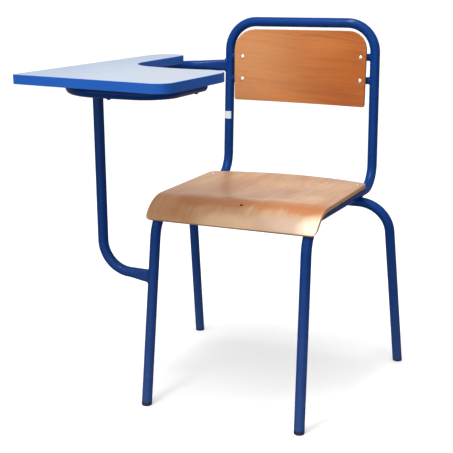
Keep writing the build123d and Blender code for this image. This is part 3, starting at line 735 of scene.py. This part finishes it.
def dome(head, steps, hole):
    """Profile of a low domed head, from its rim to a hole in the middle."""
    radius, height = head
    sphere = (radius**2 + height**2) / (2 * height)
    points = [(SHANK_R, -SHANK_DEPTH), (SHANK_R, -0.4)]
    points += [(radius - 0.25, -0.15), (radius - 0.05, -0.05), (radius, 0.12)]
    for k in range(1, steps):
        r = radius + (hole - radius) * k / steps
        points.append((r, max(0.12, sqrt(sphere**2 - r**2) - sphere + height)))
    return points


def blind_rivet(name, centre, out, node):
    """A pulled rivet: low dome, and the broken mandrel standing in its bore."""
    profile = dome(RIVET_HEAD, steps=10, hole=MANDREL_HOLE_R)
    top = profile[-1][1]
    profile += [(radius, top - drop) for radius, drop in MANDREL]
    lathe(name, centre, out, profile, "bright_rivet", node)


def cross_recess(head):
    """Depth of a cross-shaped driver recess at a point of the head."""
    arm, width, depth = head[0] * 0.52, head[0] * 0.13, head[1] * 0.55

    def drop(x, y):
        best = 0.0
        for along, beside in ((x, y), (y, x)):
            inside = min(1.0, max(0.0, (arm - abs(along)) / (0.25 * arm)))
            inside *= min(1.0, max(0.0, (width + 0.18 - abs(beside)) / 0.22))
            best = max(best, inside)
        return depth * best

    return drop


def screw(name, centre, out, head, node):
    """A domed screw head with a cross recess."""
    profile = dome(head, steps=22, hole=0.04)
    lathe(name, centre, out, profile, "dark_screw", node, recess=cross_recess(head), around=96)


def bar_height(bar_ends, x):
    """Height of a tilted back bar at x, along the uprights."""
    half = upright_x(bar_ends[0])
    return bar_ends[0] + (bar_ends[1] - bar_ends[0]) * (x + half) / (2 * half)


SIDES = {"right": -1, "left": 1}
UP = Vector((0, 0, 1))
for side_name, side in SIDES.items():
    for row, bar_ends in zip(("lower", "upper"), BACK_BARS):
        x = BACK_RIVET_X[(side + 1) // 2]
        spot = back_at(x, bar_height(bar_ends, x), face_reach)
        label = f"back_{row}_{side_name}"
        blind_rivet(f"pulled_rivet_{label}", spot, back_normal(x), f"back_rivet_{row}_{side_name}")
    share = (SEAT_RIVET_Y - KNEE[1]) / (HEEL[1] - KNEE[1])
    x = side * (KNEE[0] + share * (HEEL[0] - KNEE[0]))
    spot = seat_point(x, (SEAT_RIVET_Y - knee_centre.y) / rail_back.y, 0)
    blind_rivet(f"pulled_rivet_seat_{side_name}", spot, rail_up, f"seat_rivet_{side_name}")

turn = radians(FRONT_BAR_ANGLE)
screw(
    "driven_screw_seat_front",
    knee_point(FRONT_SCREW_X, FRONT_BAR_ANGLE, nose_reach),
    Vector((0, -sin(turn), cos(turn))),
    SEAT_SCREW_HEAD,
    "seat_front_screw",
)
for number, (x, y) in enumerate(SCREWS, start=1):
    spot = at(x, y, SUPPORT_Z - TUBE_R)
    screw(f"driven_screw_tablet_{number}", spot, -UP, SCREW_HEAD, f"tablet_screw_{number}")


# ------------------------------------------------------------------ weld beads
def reach_tube(start, direction, tube_point, tube_axis, radius):
    """Where a line first meets a tube's outside; all in millimetres."""
    gap = start - tube_point
    d = direction - tube_axis * direction.dot(tube_axis)
    g = gap - tube_axis * gap.dot(tube_axis)
    a, b, c = d.length_squared, 2 * d.dot(g), g.length_squared - radius**2
    inside = max(0.0, b * b - 4 * a * c)
    return start + direction * ((-b - sqrt(inside)) / (2 * a))


def weld(name, outline, direction, tube, size, node, ripples):
    """A rippled bead laid around a bar's outline where it meets a tube.

    tube is a point on the tube's centre line, the line's direction and the tube's radius.
    """
    tube_point, tube_axis, radius = tube
    count = len(outline)
    hub = sum(outline, Vector()) / count
    path = [reach_tube(p, direction, tube_point, tube_axis, radius) for p in outline]
    verts, faces, around = [], [], 12
    for k, p in enumerate(path):
        tangent = (path[(k + 1) % count] - path[k - 1]).normalized()
        off = outline[k] - hub
        off = (off - direction * off.dot(direction)).normalized()
        wall = p - tube_point
        wall = (wall - tube_axis * wall.dot(tube_axis)).normalized()
        lift = (off + wall).normalized()
        lift = (lift - tangent * lift.dot(tangent)).normalized()
        beside = tangent.cross(lift)
        phase = ripples * k / count
        swell = 1 + 0.16 * abs(sin(pi * phase)) + 0.07 * sin(2.3 * phase + 1.0)
        for j in range(around):
            angle = 2 * pi * j / around
            spread = lift * cos(angle) * size * BEAD_RISE * swell
            spread += beside * sin(angle) * size * BEAD_SPREAD * swell
            verts.append(at(*(p + spread)))
    for k in range(count):
        n = (k + 1) % count
        for j in range(around):
            i = (j + 1) % around
            faces.append((k * around + j, k * around + i, n * around + i, n * around + j))
    return make_piece(name, verts, faces, [MATERIALS["blue_tube_paint"]], [node])


def circle(centre, direction, radius, count=96):
    """Outline of a round bar or tube end."""
    side, other = basis(direction)
    turns = [2 * pi * k / count for k in range(count)]
    return [centre + side * radius * cos(t) + other * radius * sin(t) for t in turns]


def slot_outline(centre, across, size, count=96):
    """Outline of a crushed tube end: a narrow upright slot with round ends."""
    half_height, half_thick = size[0] / 2, size[1] / 2
    steep = 3.2     # how quickly the turning angle runs up the straight sides
    outline = []
    for k in range(count):
        turn = 2 * pi * k / count
        straight = (half_height - half_thick) * max(-1.0, min(1.0, steep * sin(turn)))
        rise = half_thick * sin(turn) + straight
        outline.append(centre + across * half_thick * cos(turn) + UP * rise)
    return outline


def upright_at(side, height):
    """Point on an upright's centre line, in millimetres."""
    return Vector((side * upright_x(height), HEEL[1], HEEL[2])) + back_up * height


leg_lean = Vector((KNEE[0] - FRONT_FEET_X, KNEE[1], KNEE[2])) / KNEE[2]
for side_name, side in SIDES.items():
    axis = (upright_at(side, 300) - upright_at(side, 0)).normalized()
    upright = (upright_at(side, 0), axis, TUBE_R)
    for row, bar_ends in zip(("lower", "upper"), BACK_BARS):
        height = bar_ends[(side + 1) // 2]
        slant = upright_x(height) / BACK_R
        along = Vector((side * cos(slant), 0, 0)) - back_out * sin(slant)
        start = upright_at(side, height) - along * BACK_WELD_START
        weld(
            f"weld_bead_back_{row}_{side_name}",
            circle(start, along, BAR_R),
            direction=along,
            tube=upright,
            size=BAR_BEAD,
            node=f"back_bar_weld_{row}_{side_name}",
            ripples=26,
        )

to_upright = (upright_at(-1, 0) - upright_at(-1, 300)).normalized()
support_start = upright_at(-1, (SUPPORT_Z - HEEL[2]) / back_up.z)
first_turn = Vector((POST_X, SUPPORT_TURN_Y, SUPPORT_Z))
inward = (support_start - first_turn).normalized()
weld(
    "weld_bead_support_tube",
    slot_outline(support_start - inward * WELD_START, inward.cross(UP).normalized(), SUPPORT_FLAT),
    direction=inward,
    tube=(support_start, to_upright, TUBE_R),
    size=TUBE_BEAD,
    node="support_tube_weld",
    ripples=34,
)
post_y = leg_lean.y * POST_FLAT_Z
post_top = Vector((POST_X, post_y, SUPPORT_Z))
weld(
    "weld_bead_post_top",
    circle(post_top - UP * WELD_START, UP, TUBE_R - WELD_INSIDE),
    direction=UP,
    tube=(post_top, Vector((0, 1, 0)), TUBE_R),
    size=TUBE_BEAD,
    node="post_top_weld",
    ripples=34,
)
leg_axis = Vector((-leg_lean.x, leg_lean.y, 1)).normalized()
foot_point = Vector((-FRONT_FEET_X - leg_lean.x * POST_FLAT_Z, post_y, POST_FLAT_Z))
weld(
    "weld_bead_post_foot",
    slot_outline(foot_point - Vector((WELD_START, 0, 0)), Vector((0, 1, 0)), POST_FLAT),
    direction=Vector((1, 0, 0)),
    tube=(foot_point, leg_axis, TUBE_R),
    size=BAR_BEAD,
    node="post_foot_weld",
    ripples=30,
)

# ------------------------------------------------------------------ finishes on the CAD nodes
subpart_slots = {entry["node"]: entry["material_slot"] for entry in frame["record"]["subparts"]}
for name, node in frame["nodes"].items():
    for part in node.material_slots:
        part.material = MATERIALS[subpart_slots[name]]

# ------------------------------------------------------------------ floor, light and camera
FLOOR_R, FLOOR_DROP, FLOOR_SIDES = 90.0, 0.0003, 64
floor_mesh = bpy.data.meshes.new("studio_floor")
turns = [2 * pi * k / FLOOR_SIDES for k in range(FLOOR_SIDES)]
ring = [(FLOOR_R * cos(turn), FLOOR_R * sin(turn), -FLOOR_DROP) for turn in turns]
floor_mesh.from_pydata(ring, [], [tuple(range(FLOOR_SIDES))])
floor = bpy.data.objects.new("studio_floor", floor_mesh)
bpy.context.collection.objects.link(floor)
s = Shader("studio_floor_paper")
tone = s.noise(s.place(), 3.0, 2.0)
floor_mesh.materials.append(
    s.finish(
        s.mix(tone, (0.93, 0.93, 0.93), (0.95, 0.95, 0.95)),
        0.9,
        s.bump(s.noise(s.place(), 300.0, 2.0), 0.02, 0.0002),
        Specular_IOR_Level=0.1,
        Emission_Color=(1.0, 1.0, 1.0, 1.0),
        Emission_Strength=0.22,
    )
)
floor.visible_diffuse = False
floor.visible_glossy = False

world = bpy.data.worlds.new("studio")
bpy.context.scene.world = world
world.use_nodes = True
sky = world.node_tree.nodes
background = sky["Background"]
heading = sky.new("ShaderNodeTexCoord")
split_heading = sky.new("ShaderNodeSeparateXYZ")
shade = sky.new("ShaderNodeMapRange")
world.node_tree.links.new(heading.outputs["Generated"], split_heading.inputs["Vector"])
world.node_tree.links.new(split_heading.outputs["Z"], shade.inputs["Value"])
world.node_tree.links.new(shade.outputs["Result"], background.inputs["Strength"])
for key, value in (("From Min", -0.25), ("From Max", 0.75), ("To Min", 0.24), ("To Max", 0.50)):
    shade.inputs[key].default_value = value
background.inputs["Color"].default_value = (1.0, 1.0, 1.0, 1)


def aim(thing, target):
    """Turn a lamp to face a point."""
    thing.rotation_mode = "QUATERNION"
    thing.rotation_quaternion = (target - thing.location).to_track_quat("-Z", "Y")


def sun(name, where, strength, spread, tint):
    """A sun shining from where onto the origin; spread is its width in degrees."""
    data = bpy.data.lights.new(name, "SUN")
    data.energy, data.angle, data.color = strength, radians(spread), tint
    lamp = bpy.data.objects.new(name, data)
    lamp.location = where
    aim(lamp, Vector((0, 0, 0)))
    bpy.context.collection.objects.link(lamp)


def softbox(name, where, target, size, power, tint):
    """A glowing panel that the camera doesn't see."""
    data = bpy.data.lights.new(name, "AREA")
    data.shape, data.size, data.size_y = "RECTANGLE", size[0], size[1]
    data.energy, data.color = power, tint
    lamp = bpy.data.objects.new(name, data)
    lamp.location = where
    lamp.visible_camera = False
    aim(lamp, target)
    bpy.context.collection.objects.link(lamp)


WHITE, WARM, WARMER = (1.0, 1.0, 1.0), (1.0, 0.995, 0.985), (1.0, 0.99, 0.98)
BACKDROP_AT, BACKDROP_TARGET = Vector((-1.15, 2.6, 0.92)), Vector((-1.15, 0, 0.6))
TOP_BOX_AT, TOP_BOX_TARGET = Vector((-0.10, -0.50, 2.05)), Vector((0.0, -0.15, 0.45))
sun("overhead", (0.0, -1.0, 2.7), strength=0.62, spread=60, tint=WARM)
sun("front", (-0.25, -2.9, 1.15), strength=1.85, spread=110, tint=WARMER)
sun("right_fill", (2.9, -0.5, 0.8), strength=0.30, spread=90, tint=WARMER)
softbox("backdrop", BACKDROP_AT, BACKDROP_TARGET, size=(1.7, 1.2), power=2.8, tint=WHITE)
softbox("top_box", TOP_BOX_AT, TOP_BOX_TARGET, size=(0.24, 1.7), power=25, tint=WARM)

CAMERA_AT = Vector((0.78620, -1.79628, 0.88711))
AZIMUTH, PITCH, ROLL = radians(23.829), radians(14.502), radians(-0.259)
forward = Vector((-sin(AZIMUTH) * cos(PITCH), cos(AZIMUTH) * cos(PITCH), -sin(PITCH)))
right = Vector((cos(AZIMUTH), sin(AZIMUTH), 0))
above = right.cross(forward)
image_x = right * cos(ROLL) + above * sin(ROLL)
image_y = -right * sin(ROLL) + above * cos(ROLL)
camera_data = bpy.data.cameras.new("camera")
camera_data.sensor_width = 36.0
camera_data.lens = 75.80
camera_data.shift_x = 0.00255
camera_data.shift_y = -0.00194
camera_data.clip_end = 300.0
camera = bpy.data.objects.new("camera", camera_data)
turned = Matrix((image_x, image_y, -forward)).transposed().to_4x4()
camera.matrix_world = Matrix.Translation(CAMERA_AT) @ turned
bpy.context.collection.objects.link(camera)
bpy.context.scene.camera = camera
bpy.context.scene.view_settings.view_transform = "Standard"
